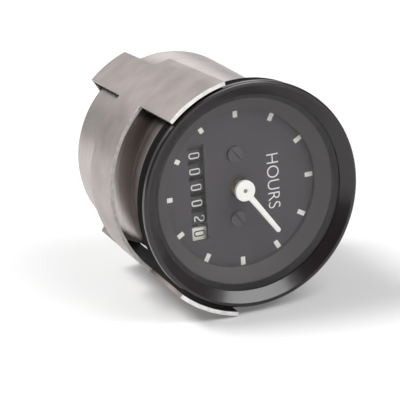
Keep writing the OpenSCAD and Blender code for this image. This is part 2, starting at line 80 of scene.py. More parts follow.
# an edge with this share of its length along an axis lies along that axis
ALONG_AXIS = 0.9
LOG = logging.getLogger("hour_meter")
# the materials made so far, by name
MADE: dict[str, bpy.types.Material] = {}


def linear(code: str) -> tuple[float, float, float, float]:
    """Turns an sRGB hex colour into linear values.

    Args:
        code: six hex digits, with or without a leading hash.

    Returns:
        Red, green, blue and an alpha of 1.
    """
    digits = code.lstrip("#")
    values = [int(digits[i:i + 2], 16) / 255 for i in (0, 2, 4)]
    flat = [v / 12.92 if v <= 0.04045 else ((v + 0.055) / 1.055) ** 2.4 for v in values]
    return (flat[0], flat[1], flat[2], 1.0)


def per_metre(size_mm: float) -> float:
    """Gives the texture scale at which one feature has a given width.

    Args:
        size_mm: the feature's width.

    Returns:
        The scale, in features per metre.
    """
    return 1.0 / (size_mm * MM)


def place(x: float, y: float, z: float) -> Vector:
    """Puts a point of the gauge, in mm, into the part's frame.

    Args:
        x: distance towards 12 o'clock.
        y: distance towards 9 o'clock.
        z: height in front of the panel seat.

    Returns:
        The point in metres.
    """
    return Vector((x, -z, y)) * MM


def add_node(tree: bpy.types.NodeTree, kind: str, settings: Optional[dict] = None,
             links: Optional[dict] = None) -> bpy.types.Node:
    """Adds one node with its settings and links.

    Args:
        tree: the node tree that takes the node.
        kind: the node's type name.
        settings: values by socket (name or number) or by property.
        links: output sockets by the input (name or number) that takes them.

    Returns:
        The new node.
    """
    node = tree.nodes.new(kind)
    for key, value in (settings or {}).items():
        if isinstance(key, int) or key in node.inputs:
            node.inputs[key].default_value = value
        else:
            setattr(node, key, value)
    for key, socket in (links or {}).items():
        tree.links.new(socket, node.inputs[key])
    return node


def empty_tree(owner: Union[bpy.types.Material, bpy.types.World]) -> bpy.types.NodeTree:
    """Switches nodes on and clears what Blender puts there.

    Args:
        owner: the material or world.

    Returns:
        Its empty node tree.
    """
    owner.use_nodes = True
    owner.node_tree.nodes.clear()
    return owner.node_tree


class Grain(Enum):
    """How the fine marks of a surface lie."""

    EVEN = "even"
    AROUND = "around"
    ALONG = "along"


@dataclass(frozen=True)
class Finish:
    """One surface: its colours, its shine and its fine marks.

    The colour drifts from base to shade over patches, and the grain changes roughness and height.
    """

    name: str
    base: str
    shade: str
    metallic: float = 0.0
    roughness: float = 0.5
    spread: float = 0.08
    grain_mm: float = 0.3
    grain: Grain = Grain.EVEN
    stretch: float = 40.0
    patch_mm: float = 9.0
    height_mm: float = 0.004
    specular: float = 0.5
    anisotropy: float = 0.0

    def grain_scale(self) -> tuple[float, float, float]:
        """Gives the grain's scale.

        Returns:
            The scale along X, Y and Z.
        """
        fine = per_metre(self.grain_mm)
        long = fine / self.stretch
        if self.grain is Grain.AROUND:
            return (long, fine, long)
        if self.grain is Grain.ALONG:
            return (fine, long, fine)
        return (fine, fine, fine)

    def material(self) -> bpy.types.Material:
        """Makes the finish's node material, or finds it.

        Returns:
            The material.
        """
        if self.name in MADE:
            return MADE[self.name]
        made = MADE[self.name] = bpy.data.materials.new(self.name)
        tree = empty_tree(made)
        where = add_node(tree, "ShaderNodeTexCoord")
        turned = add_node(tree, "ShaderNodeMapping", {"Scale": self.grain_scale()}, {"Vector": where.outputs["Object"]})
        grain = add_node(tree, "ShaderNodeTexNoise", {"Scale": 1.0, "Detail": 3.0, "Roughness": 0.6},
                         {"Vector": turned.outputs["Vector"]})
        patch = add_node(tree, "ShaderNodeTexNoise", {"Scale": per_metre(self.patch_mm), "Detail": 2.0},
                         {"Vector": where.outputs["Object"]})
        both = add_node(tree, "ShaderNodeMath", {"operation": "MULTIPLY_ADD", 1: GRAIN_SHARE},
                        {0: grain.outputs["Fac"], 2: patch.outputs["Fac"]})
        share = add_node(tree, "ShaderNodeMapRange", {"From Min": 0.5, "From Max": 0.95},
                         {"Value": both.outputs["Value"]})
        # a mix node's colours are its inputs 6 and 7 and its output 2
        colour = add_node(tree, "ShaderNodeMix", {"data_type": "RGBA", 6: linear(self.base), 7: linear(self.shade)},
                          {0: share.outputs["Result"]})
        rough = add_node(tree, "ShaderNodeMapRange",
                         {"From Min": 0.3, "From Max": 0.7, "To Min": max(0.02, self.roughness - self.spread),
                          "To Max": min(1.0, self.roughness + self.spread)}, {"Value": grain.outputs["Fac"]})
        bump = add_node(tree, "ShaderNodeBump", {"Strength": 0.6, "Distance": self.height_mm * MM},
                        {"Height": grain.outputs["Fac"]})
        shader = add_node(tree, "ShaderNodeBsdfPrincipled",
                          {"Metallic": self.metallic, "Specular IOR Level": self.specular,
                           "Anisotropic": self.anisotropy},
                          {"Base Color": colour.outputs[2], "Roughness": rough.outputs["Result"],
                           "Normal": bump.outputs["Normal"]})
        if self.anisotropy:
            ring = add_node(tree, "ShaderNodeTangent", {"direction_type": "RADIAL", "axis": "Y"})
            tree.links.new(ring.outputs["Tangent"], shader.inputs["Tangent"])
        add_node(tree, "ShaderNodeOutputMaterial", links={"Surface": shader.outputs["BSDF"]})
        return made


@dataclass(frozen=True)
class ClearGlass:
    """Flat instrument glass: clear, with a plain mirror of about four percent on its outer side."""

    name: str = "instrument_glass"
    ior: float = 1.5
    roughness: float = 0.02
    haze_mm: float = 14.0
    haze_blur: float = 3.0

    def material(self) -> bpy.types.Material:
        """Makes the glass, or finds it.

        Returns:
            The material.
        """
        if self.name in MADE:
            return MADE[self.name]
        made = MADE[self.name] = bpy.data.materials.new(self.name)
        tree = empty_tree(made)
        where = add_node(tree, "ShaderNodeTexCoord")
        haze = add_node(tree, "ShaderNodeTexNoise", {"Scale": per_metre(self.haze_mm), "Detail": 2.0},
                        {"Vector": where.outputs["Object"]})
        rough = add_node(tree, "ShaderNodeMapRange",
                         {"To Min": self.roughness, "To Max": self.roughness * self.haze_blur},
                         {"Value": haze.outputs["Fac"]})
        gleam = add_node(tree, "ShaderNodeFresnel", {"IOR": self.ior})
        side = add_node(tree, "ShaderNodeNewGeometry")
        outer = add_node(tree, "ShaderNodeMath", {"operation": "SUBTRACT", 0: 1.0}, {1: side.outputs["Backfacing"]})
        share = add_node(tree, "ShaderNodeMath", {"operation": "MULTIPLY"},
                         {0: gleam.outputs["Fac"], 1: outer.outputs["Value"]})
        clear = add_node(tree, "ShaderNodeBsdfTransparent", {"Color": linear("#FDFDFD")})
        mirror = add_node(tree, "ShaderNodeBsdfGlossy", {"Color": linear("#FFFFFF")},
                          {"Roughness": rough.outputs["Result"]})
        mixed = add_node(tree, "ShaderNodeMixShader", links={0: share.outputs["Value"], 1: clear.outputs["BSDF"],
                                                            2: mirror.outputs["BSDF"]})
        add_node(tree, "ShaderNodeOutputMaterial", links={"Surface": mixed.outputs["Shader"]})
        return made


Surface = Union[Finish, ClearGlass]


class Finishes:
    """All finishes of the meter, each with what it gives the eye."""

    # deep-drawn steel, brushed while it turned: rings of fine marks, drawn 0.3 mm wide so that they show
    DRAWN_STEEL = Finish("drawn_steel", "#B9B1AE", "#A59D9A", metallic=1.0, roughness=0.30, spread=0.05, grain_mm=0.3,
                         grain=Grain.AROUND, stretch=220.0, patch_mm=12.0, height_mm=0.001, anisotropy=0.4)
    # cold-rolled sheet, satin and handled: soft smudges over a fine even grain
    SATIN_SHEET = Finish("satin_sheet_steel", "#B2A8A5", "#9F9592", metallic=1.0, roughness=0.38, spread=0.06,
                         grain_mm=0.35, patch_mm=7.0, height_mm=0.003)
    # sheet edges left bright by the shears, a little torn along the sheet, and painted near white as a highlight for
    # their glint
    SHEARED_EDGE_HIGHLIGHT = Finish("sheared_edge_painted_highlight_steel", "#F4F2F0", "#D2CDCA", metallic=0.35, roughness=0.45, spread=0.1,
                          grain_mm=0.2, patch_mm=1.5, height_mm=0.006)
    # painted shade for the legs' inner sides: dull and dark brown instead of steel, it keeps the gaps under the legs
    # dark
    INSIDE_PAINTED_SHADE = Finish("painted_shade_inside_steel", "#1B1715", "#151210", roughness=0.6, spread=0.06, grain_mm=0.6,
                         patch_mm=7.0, height_mm=0.002, specular=0.08)
    # zinc plating on studs, washers and nuts: pale, a little yellow, with a soft shine
    ZINC = Finish("zinc_plated_steel", "#C4C0B6", "#B0ABA0", metallic=1.0, roughness=0.32, spread=0.08, grain_mm=0.25,
                  patch_mm=3.0, height_mm=0.003)
    # shafts straight from the lathe: grey, with turning marks that catch the light in rings
    TURNED_STEEL = Finish("turned_steel", "#8E8A87", "#76726F", metallic=1.0, roughness=0.38, spread=0.08,
                          grain_mm=0.2, grain=Grain.AROUND, stretch=12.0, patch_mm=2.0, height_mm=0.002)
    # the motor's plain sheet can: flat grey, duller than the case
    PLATE_STEEL = Finish("plain_sheet_steel", "#A9A7A2", "#97958F", metallic=1.0, roughness=0.4, spread=0.08,
                         grain_mm=0.3, patch_mm=6.0, height_mm=0.003)
    # turned brass: the one warm tone, at the foot of the pointer's shaft
    BRASS = Finish("turned_brass", "#B08A52", "#96733F", metallic=1.0, roughness=0.34, spread=0.08, grain_mm=0.2,
                   grain=Grain.AROUND, stretch=10.0, patch_mm=3.0, height_mm=0.002)
    # tinned blades: a yellowish white metal, rolled lengthwise
    TINNED = Finish("tinned_blade_brass", "#C9C2AC", "#B5AD95", metallic=1.0, roughness=0.35, spread=0.08,
                    grain_mm=0.25, grain=Grain.ALONG, stretch=8.0, patch_mm=3.0, height_mm=0.002)
    # black bezel, stove enamel: a smooth sheen that shows the lamps on the ridge and the inner slope
    BEZEL = Finish("satin_black_enamel", "#1B1418", "#191216", roughness=0.22, spread=0.012, grain_mm=1.6,
                   patch_mm=10.0, height_mm=0.0004, specular=0.6)
    # gasket and seal: dead black, without any shine, so they read as dark lines
    RUBBER = Finish("black_gasket_rubber", "#0C0B0B", "#100F0F", roughness=0.85, spread=0.08, grain_mm=0.4,
                    patch_mm=5.0, height_mm=0.01, specular=0.06)
    # the ring around the dial: a shade darker than the dial and a little smoother
    REFLECTOR = Finish("reflector_grey_plastic", "#423D3E", "#403B3C", roughness=0.62, spread=0.01, grain_mm=1.2,
                       patch_mm=8.0, height_mm=0.0006, specular=0.3)
    # dial paint: matt dark grey, even and almost without shine
    DIAL = Finish("matt_dial_paint", "#453F44", "#433D42", roughness=0.7, spread=0.01, grain_mm=1.0, patch_mm=9.0,
                  height_mm=0.0002, specular=0.25)
    # dial screws: blacked steel, near the dial's tone so that only their edges show
    SCREW = Finish("blacked_screw", "#464246", "#3C393C", roughness=0.5, spread=0.08, grain_mm=0.25, patch_mm=2.0,
                   height_mm=0.003)
    # plates behind the window: steel painted black as shade, which keeps the slots beside the drums dark
    SHADE_BLACK_PLATE = Finish("painted_shade_black_sheet", "#242223", "#2B2829", roughness=0.5, spread=0.06, grain_mm=0.3,
                     patch_mm=5.0, height_mm=0.002)
    # pointer: the brightest thing on the dial, clean white with a soft shine
    POINTER = Finish("white_pointer_plastic", "#FBF9F5", "#F5F3EE", roughness=0.42, spread=0.05, grain_mm=0.3,
                     patch_mm=4.0, height_mm=0.002)
    # ticks: matt paint, off-white with a hint of green
    LUMINOUS = Finish("tick_paint", "#EFEFE6", "#E4E4DA", roughness=0.65, spread=0.06, grain_mm=0.2, patch_mm=2.0,
                      height_mm=0.003)
    # white ink of the word and of the black drums' digits: flat, a little off pure white
    WHITE_PRINT = Finish("white_print", "#ECEBE8", "#E0DFDB", roughness=0.6, spread=0.06, grain_mm=0.2, patch_mm=2.0,
                         height_mm=0.002)
    # black ink of the white drum's digits: flat and soft, not quite black
    BLACK_PRINT = Finish("black_print", "#1C1B1B", "#232222", roughness=0.6, spread=0.06, grain_mm=0.2, patch_mm=2.0,
                         height_mm=0.002)
    # five drums moulded in black, with faint turning marks
    DRUM_BLACK = Finish("black_drum_plastic", "#262425", "#2E2B2C", roughness=0.5, spread=0.06, grain_mm=0.3,
                        grain=Grain.AROUND, stretch=8.0, patch_mm=3.0, height_mm=0.003)
    # the tenths drum moulded in white, so that it stands out from the hours
    DRUM_WHITE = Finish("white_drum_plastic", "#E6E5DC", "#DAD9CE", roughness=0.5, spread=0.06, grain_mm=0.3,
                        grain=Grain.AROUND, stretch=8.0, patch_mm=3.0, height_mm=0.002)
    # undyed nylon of the pinions, the gearbox and the sleeve: milky and slightly yellow
    NATURAL = Finish("natural_nylon", "#DCD7C7", "#CFC9B8", roughness=0.5, spread=0.06, grain_mm=0.4, patch_mm=6.0,
                     height_mm=0.004)
    # solder mask of the drive board: deep glossy green
    BOARD = Finish("green_solder_mask", "#1E5434", "#18462B", roughness=0.35, spread=0.05, grain_mm=0.4, patch_mm=5.0,
                   height_mm=0.003)
    # terminal block: black moulding with a dull, fine-grained skin
    BLOCK = Finish("black_moulded_plastic", "#1E1D1D", "#252323", roughness=0.5, spread=0.06, grain_mm=0.35,
                   patch_mm=5.0, height_mm=0.005)
    # the lens: clear, seen only by a weak mirror of the room
    GLASS = ClearGlass()


def dress(names: Iterable[str], finish: Surface) -> None:
    """Gives CAD nodes one finish.

    Args:
        names: the nodes' names.
        finish: what they are made of.
    """
    for name in names:
        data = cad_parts[name].data
        data.materials.clear()
        data.materials.append(finish.material())
        LOG.info("dressed %s in %s", name, finish.name)


def piece_from(mesh: bmesh.types.BMesh, name: str, body: str, finish: Surface) -> bpy.types.Object:
    """Makes an object of a finished bmesh and lets it ride on a body.

    Args:
        mesh: the shape, in the part's frame; it is freed here.
        name: the piece's name.
        body: the CAD body that carries it.
        finish: what it is made of.

    Returns:
        The new object.
    """
    data = bpy.data.meshes.new(name)
    mesh.to_mesh(data)
    mesh.free()
    data.materials.clear()
    data.materials.append(finish.material())
    made = bpy.data.objects.new(name, data)
    bpy.context.scene.collection.objects.link(made)
    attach(made, body)
    LOG.info("built %s on %s", name, body)
    return made


def eased_copy(node: str, body: str, finish: Surface, edge_mm: float, angle: float = 35.0,
               edge_finish: Optional[Finish] = None) -> bpy.types.Object:
    """Copies a CAD node with its sharp edges eased, and shows the copy in its place.

    Args:
        node: the CAD node.
        body: the body that carries it.
        finish: what it is made of.
        edge_mm: the width of the eased edge.
        angle: edges sharper than this, in degrees, are eased.
        edge_finish: what the eased edges show, if not the same finish.

    Returns:
        The copy.
    """
    mesh = bmesh.new()
    mesh.from_mesh(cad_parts[node].data)
    bmesh.ops.remove_doubles(mesh, verts=mesh.verts, dist=WELD)
    bmesh.ops.dissolve_limit(mesh, angle_limit=math.radians(FLAT_DEG), use_dissolve_boundaries=False,
                             verts=mesh.verts, edges=mesh.edges, delimit=set())
    sharp = [e for e in mesh.edges if e.is_manifold and e.calc_face_angle(0.0) > math.radians(angle)]
    eased = bmesh.ops.bevel(mesh, geom=sharp, offset=edge_mm * MM, offset_type="OFFSET", segments=EDGE_STEPS,
                            profile=0.5, affect="EDGES", clamp_overlap=True, material=-1)
    for face in mesh.faces:
        face.smooth = True
    if edge_finish is not None:
        for face in eased["faces"]:
            face.material_index = 1
    made = piece_from(mesh, node + "_eased", body, finish)
    if edge_finish is not None:
        made.data.materials.append(edge_finish.material())
    made.data.set_sharp_from_angle(angle=math.radians(CREASE_DEG))
    even = made.modifiers.new("even_normals", "WEIGHTED_NORMAL")
    even.keep_sharp = True
    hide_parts(node)
    return made


def mesh_of(curve: bpy.types.Curve) -> bmesh.types.BMesh:
    """Turns a curve or a text into a mesh, and removes the curve.

    Args:
        curve: the curve's data.

    Returns:
        The mesh, in the curve's own units.
    """
    drawn = bpy.data.objects.new(curve.name, curve)
    bpy.context.scene.collection.objects.link(drawn)
    bpy.context.view_layer.update()
    flat = bpy.data.meshes.new_from_object(drawn.evaluated_get(bpy.context.evaluated_depsgraph_get()))
    mesh = bmesh.new()
    mesh.from_mesh(flat)
    bpy.data.objects.remove(drawn)
    bpy.data.meshes.remove(flat)
    bpy.data.curves.remove(curve)
    return mesh


class Group:
    """Pieces of the meter that belong together."""

    def build(self) -> None:
        """Builds the shapes that the bare solids lack."""

    def dress(self) -> None:
        """Gives the bare solids their finishes."""


@dataclass
class CaseShell(Group):
    """The can, the bezel, the gasket and the glass."""

    edge_mm: float = 0.12
    bezel_edge_mm: float = 0.26
    bezel_angle: float = 20.0
    gasket_edge_mm: float = 0.25
    glass_edge_mm: float = 0.1
    glass_gap: float = 0.02

    def build(self) -> None:
        """Eases the edges of the can, the bezel and the glass, which keeps off its seal by a hair."""
        eased_copy("case_can", "meter", Finishes.DRAWN_STEEL, self.edge_mm)
        eased_copy("bezel", "meter", Finishes.BEZEL, self.bezel_edge_mm,
                   angle=self.bezel_angle)
        eased_copy("gasket", "meter", Finishes.RUBBER, self.gasket_edge_mm)
        glass = eased_copy("lens", "meter", Finishes.GLASS, self.glass_edge_mm)
        low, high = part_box("lens")
        middle = (low[1] + high[1]) / 2
        thinner = 1.0 - 2 * self.glass_gap * MM / (high[1] - low[1])
        for v in glass.data.vertices:
            v.co.y = middle + (v.co.y - middle) * thinner

    def dress(self) -> None:
        """Dresses the can's mouth and the seal of the glass."""
        dress(["case_neck"], Finishes.DRAWN_STEEL)
        dress(["lens_seal"], Finishes.RUBBER)


@dataclass
class DialFace(Group):
    """The dial with its ticks, its word and its screws."""

    face_z: float = -2.0
    tick_count: int = 12
    tick_l: float = 2.75
    tick_w: float = 1.25
    tick_mid_r: float = 20.35
    tick_corner: float = 0.12
    screw_edge_mm: float = 0.15
    print_t: float = 0.03
    word: str = "HOURS"
    word_h: float = 3.35
    word_l: float = 14.8
    word_thin: float = 0.012
    word_x: float = 9.9
    word_y: float = 0.0

    def build(self) -> None:
        """Builds the printed ticks and the word, and eases the screws."""
        self.build_ticks()
        self.build_word()
        eased_copy("dial_screws", "meter", Finishes.SCREW, self.screw_edge_mm)

    def build_ticks(self) -> None:
        """Prints the ticks, each a thin plate with rounded corners."""
        mesh = bmesh.new()
        for i in range(self.tick_count):
            turn = Matrix.Rotation(math.tau * i / self.tick_count, 4, "Y")
            shift = Matrix.Translation(place(self.tick_mid_r, 0.0, self.face_z))
            size = Matrix.Diagonal((self.tick_l * MM, 2 * self.print_t * MM, self.tick_w * MM, 1.0))
            made = bmesh.ops.create_cube(mesh, size=1.0, matrix=turn @ shift @ size)
            upright = [e for v in made["verts"] for e in v.link_edges
                       if abs((e.verts[0].co - e.verts[1].co).normalized().y) > ALONG_AXIS]
            bmesh.ops.bevel(mesh, geom=list(dict.fromkeys(upright)), offset=self.tick_corner * MM, offset_type="OFFSET",
                            segments=EDGE_STEPS, profile=0.5, affect="EDGES", material=-1)
        piece_from(mesh, "dial_ticks", "meter", Finishes.LUMINOUS)

    def build_word(self) -> None:
        """Prints the word above the axis, upright towards 12 o'clock."""
        curve = bpy.data.curves.new("dial_word_text", "FONT")
        curve.body = self.word
        curve.align_x = "CENTER"
        curve.align_y = "CENTER"
        # any thickness will do here: the word is brought to its sizes below
        curve.extrude = 0.5
        curve.offset = -self.word_thin
        mesh = mesh_of(curve)
        low = Vector([min(v.co[k] for v in mesh.verts) for k in range(3)])
        high = Vector([max(v.co[k] for v in mesh.verts) for k in range(3)])
        middle = (low + high) / 2
        size = Matrix.Diagonal((self.word_l * MM / (high.x - low.x), self.word_h * MM / (high.y - low.y),
                                2 * self.print_t * MM / (high.z - low.z), 1.0))
        # the word's own x, y and z lie along -Z, +X and -Y
        turn = Matrix(((0, 1, 0, 0), (0, 0, -1, 0), (-1, 0, 0, 0), (0, 0, 0, 1)))
        where = Matrix.Translation(place(self.word_x, self.word_y, self.face_z))
        bmesh.ops.transform(mesh, matrix=where @ turn @ size @ Matrix.Translation(-middle), verts=mesh.verts)
        bmesh.ops.remove_doubles(mesh, verts=mesh.verts, dist=1e-7)
        bmesh.ops.recalc_face_normals(mesh, faces=mesh.faces)
        piece_from(mesh, "dial_word", "meter", Finishes.WHITE_PRINT)

    def dress(self) -> None:
        """Dresses the dial and the ring around it."""
        dress(["dial"], Finishes.DIAL)
        dress(["reflector_ring"], Finishes.REFLECTOR)


def rounded(points: Sequence[tuple[float, float]], radius: float, closed: bool, step: float) -> list[Vector]:
    """Rounds the corners of a line and splits it into short steps.

    Args:
        points: the line's corners.
        radius: the corners' radius.
        closed: whether the line closes on itself.
        step: the longest step.

    Returns:
        The points along the line.
    """
    corners = [Vector((x, y, 0.0)) for x, y in points]
    count = len(corners)
    line: list[Vector] = []
    for i, here in enumerate(corners):
        if not closed and i in (0, count - 1):
            line.append(here)
            continue
        before, after = corners[i - 1], corners[(i + 1) % count]
        a, b = (before - here), (after - here)
        cut = min(radius, a.length / 2, b.length / 2)
        start, end = here + a.normalized() * cut, here + b.normalized() * cut
        for k in range(CORNER_STEPS + 1):
            t = k / CORNER_STEPS
            line.append((1 - t) ** 2 * start + 2 * t * (1 - t) * here + t * t * end)
    if closed:
        line.append(line[0].copy())
    fine = [line[0]]
    for p, q in zip(line, line[1:]):
        parts = max(1, math.ceil((q - p).length / step))
        fine.extend(p.lerp(q, k / parts) for k in range(1, parts + 1))
    return fine[:-1] if closed else fine


# each digit as strokes in a box one wide and one high, and whether the stroke closes
DIGITS: dict[int, list[tuple[list[tuple[float, float]], bool]]] = {
    0: [([(0, 0), (1, 0), (1, 1), (0, 1)], True)],
    1: [([(0.2, 0.78), (0.55, 1), (0.55, 0)], False)],
    2: [([(0, 0.72), (0, 1), (1, 1), (1, 0.55), (0, 0.22), (0, 0), (1, 0)], False)],
    3: [([(0, 1), (1, 1), (0.45, 0.58), (1, 0.58), (1, 0), (0, 0), (0, 0.22)], False)],
    4: [([(0.75, 0), (0.75, 1), (0, 0.3), (1, 0.3)], False)],
    5: [([(0.95, 1), (0.08, 1), (0.0, 0.55), (1, 0.6), (1, 0), (0, 0), (0, 0.2)], False)],
    6: [([(0.9, 1), (0, 0.75), (0, 0), (1, 0), (1, 0.58), (0, 0.58)], False)],
    7: [([(0, 1), (1, 1), (0.35, 0)], False)],
    8: [([(0.08, 0.54), (0.92, 0.54), (0.92, 1), (0.08, 1)], True),
        ([(0, 0), (1, 0), (1, 0.54), (0, 0.54)], True)],
    9: [([(0.1, 0), (1, 0.25), (1, 1), (0, 1), (0, 0.42), (1, 0.42)], False)],
}


@dataclass
class Counter(Group):
    """The number drums and what drives them."""

    axis_x: float = -11.7
    axis_z: float = -10.15
    drum_r: float = 7.0
    first_y: float = 10.25
    pitch: float = 4.3
    rim_shift: float = 0.1
    tenths_shift: float = 0.45
    digit_w: float = 1.3
    digit_h: float = 2.8
    digit_corner: float = 0.55
    line_step: float = 0.3
    stroke: float = 0.36
    print_t: float = 0.02
    shown: tuple[int, ...] = (0, 0, 0, 0, 2, 0)
    lean: tuple[float, ...] = (0.5, 0.0, 1.5, 1.0, 4.5, 2.5)
    drums: tuple[str, ...] = ("drum_1", "drum_2", "drum_3", "drum_4", "drum_5", "drum_tenths")

    def strokes(self, digit: int) -> bmesh.types.BMesh:
        """Draws one digit flat, as thin ribbons.

        Args:
            digit: the digit.

        Returns:
            Its mesh in mm, centred, x to the reader's right and y up.
        """
        curve = bpy.data.curves.new("digit_line", "CURVE")
        curve.dimensions = "3D"
        curve.bevel_depth = self.stroke / 2
        curve.bevel_resolution = 1
        curve.use_fill_caps = True
        for points, closed in DIGITS[digit]:
            sized = [((x - 0.5) * self.digit_w, (y - 0.5) * self.digit_h) for x, y in points]
            line = rounded(sized, self.digit_corner, closed, self.line_step)
            spline = curve.splines.new("POLY")
            spline.points.add(len(line) - 1)
            for point, at in zip(spline.points, line):
                point.co = (at.x, at.y, 0.0, 1.0)
            spline.use_cyclic_u = closed
        return mesh_of(curve)

    def wrap(self, mesh: bmesh.types.BMesh, turn: float, y: float) -> None:
        """Lays a flat digit on a drum.

        Args:
            mesh: the digit; its points are moved.
            turn: how far from the window the digit sits, in radians, up being positive.
            y: the digit's middle along the drum shaft, towards 9 o'clock.
        """
        for v in mesh.verts:
            angle = turn + v.co.y / self.drum_r
            r = self.drum_r + self.print_t * v.co.z / (self.stroke / 2)
            v.co = place(self.axis_x + r * math.sin(angle), y - v.co.x, self.axis_z + r * math.cos(angle))

    def build(self) -> None:
        """Prints ten digits on every drum, with the shown one in the window."""
        digit_turn = 360 / len(DIGITS)
        for i, drum in enumerate(self.drums):
            whole = bmesh.new()
            white = drum == "drum_tenths"
            y = self.first_y - i * self.pitch + (self.tenths_shift if white else self.rim_shift)
            for digit in DIGITS:
                mesh = self.strokes(digit)
                self.wrap(mesh, math.radians(self.lean[i] - digit_turn * (digit - self.shown[i])), y)
                part = bpy.data.meshes.new("digit_part")
                mesh.to_mesh(part)
                mesh.free()
                whole.from_mesh(part)
                bpy.data.meshes.remove(part)
            bmesh.ops.recalc_face_normals(whole, faces=whole.faces)
            for face in whole.faces:
                face.smooth = True
            piece_from(whole, drum + "_digits", drum, Finishes.BLACK_PRINT if white else Finishes.WHITE_PRINT)

    def dress(self) -> None:
        """Dresses the drums, pinions, shafts and frame."""
        dress(self.drums[:5], Finishes.DRUM_BLACK)
        dress(["drum_tenths"], Finishes.DRUM_WHITE)
        dress([f"transfer_pinion_{i}" for i in range(1, 6)] + ["counter_pinion"], Finishes.NATURAL)
        dress(["drum_shaft", "transfer_shaft"], Finishes.TURNED_STEEL)
        # the counter frame is steel painted black as shade
        dress(["counter_frame"], Finishes.SHADE_BLACK_PLATE)


@dataclass
class PointerSet(Group):
    """The pointer, its arbor and its bush."""

    edge_mm: float = 0.2

    def build(self) -> None:
        """Eases the pointer's edges."""
        eased_copy("pointer", "pointer", Finishes.POINTER, self.edge_mm)

    def dress(self) -> None:
        """Dresses the arbor, the bush and the minute wheel."""
        dress(["pointer_arbor"], Finishes.TURNED_STEEL)
        dress(["arbor_bush", "minute_wheel"], Finishes.BRASS)
        dress(["minute_pinion"], Finishes.TURNED_STEEL)


@dataclass
class Movement(Group):
    """The plates, gearbox, motor and board inside the can."""

    def dress(self) -> None:
        """Dresses the hidden pieces."""
        # the front plate is steel painted black as shade
        dress(["front_plate"], Finishes.SHADE_BLACK_PLATE)
        dress(["motor"], Finishes.PLATE_STEEL)
        dress(["pillars"], Finishes.BRASS)
        dress(["spacer_sleeve", "gearbox"], Finishes.NATURAL)
        dress(["drive_board"], Finishes.BOARD)


